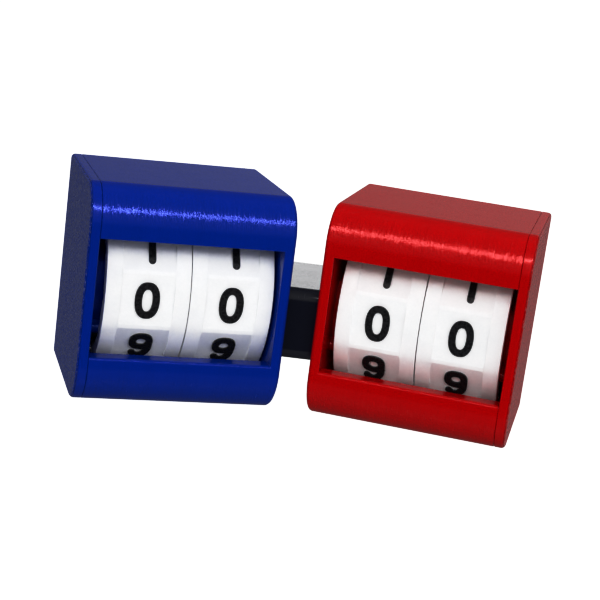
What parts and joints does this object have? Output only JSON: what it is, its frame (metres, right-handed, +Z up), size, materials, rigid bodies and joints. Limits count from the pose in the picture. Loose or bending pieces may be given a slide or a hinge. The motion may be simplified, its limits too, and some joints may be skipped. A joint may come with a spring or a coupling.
{
  "type": "tabletop score counter",
  "caption": "Tabletop score counter: a blue and a red box, toed in on a black wedge, each with a window onto ten-sided white number wheels that turn on an axle.",
  "frame": {"origin": "Middle of the footprint, on the table: centre of the bounding box in X and Y, at its bottom.", "axes": "+X to the right as the players see it, from the blue box to the red one, the longest extent; +Y away from the windows, to the back; +Z up, the shortest extent. X = 0 is the mirror plane of the two boxes and the wedge."},
  "size_m": [0.1528, 0.071, 0.065],
  "materials": {
    "blue_shell": "blue printed plastic, satin gloss, fine layer lines across the width",
    "blue_cap": "blue printed plastic, outer face with the grain of a textured print bed",
    "red_shell": "red printed plastic, satin gloss, fine layer lines across the width",
    "red_cap": "red printed plastic, outer face with the grain of a textured print bed",
    "white_wheel": "white printed plastic, slightly translucent, fine layer lines",
    "black_digits": "glossy black raised printed digits",
    "black_plastic": "black printed plastic, satin, fine layer lines",
    "steel_screws": "zinc-plated steel"
  },
  "bodies": {
    "frame": {"wedge": "black_plastic", "blue_housing": "blue_shell", "blue_end_cap": "blue_cap", "blue_axle": "black_plastic", "blue_tens_click_spring": "blue_shell", "blue_units_click_spring": "blue_shell", "blue_hub_washer": "white_wheel", "blue_wedge_screws": "steel_screws", "red_housing": "red_shell", "red_end_cap": "red_cap", "red_axle": "black_plastic", "red_tens_click_spring": "red_shell", "red_units_click_spring": "red_shell", "red_hub_washer": "white_wheel", "red_wedge_screws": "steel_screws"},
    "blue_tens": {"blue_tens_wheel": "white_wheel", "blue_tens_digits": "black_digits"},
    "blue_units": {"blue_units_wheel": "white_wheel", "blue_units_digits": "black_digits"},
    "red_tens": {"red_tens_wheel": "white_wheel", "red_tens_digits": "black_digits"},
    "red_units": {"red_units_wheel": "white_wheel", "red_units_digits": "black_digits"}
  },
  "joints": [
    {"name": "blue_tens_turn", "type": "hinge", "parent": "frame", "child": "blue_tens", "pos_m": [-0.05096, -0.00272, 0.0325], "axis": [0.9694, 0.2453, 0], "continuous": true},
    {"name": "blue_units_turn", "type": "hinge", "parent": "frame", "child": "blue_units", "pos_m": [-0.02692, 0.00336, 0.0325], "axis": [0.9694, 0.2453, 0], "continuous": true},
    {"name": "red_tens_turn", "type": "hinge", "parent": "frame", "child": "red_tens", "pos_m": [0.02847, 0.00297, 0.0325], "axis": [0.9694, -0.2453, 0], "continuous": true},
    {"name": "red_units_turn", "type": "hinge", "parent": "frame", "child": "red_units", "pos_m": [0.05251, -0.00312, 0.0325], "axis": [0.9694, -0.2453, 0], "continuous": true}
  ]
}
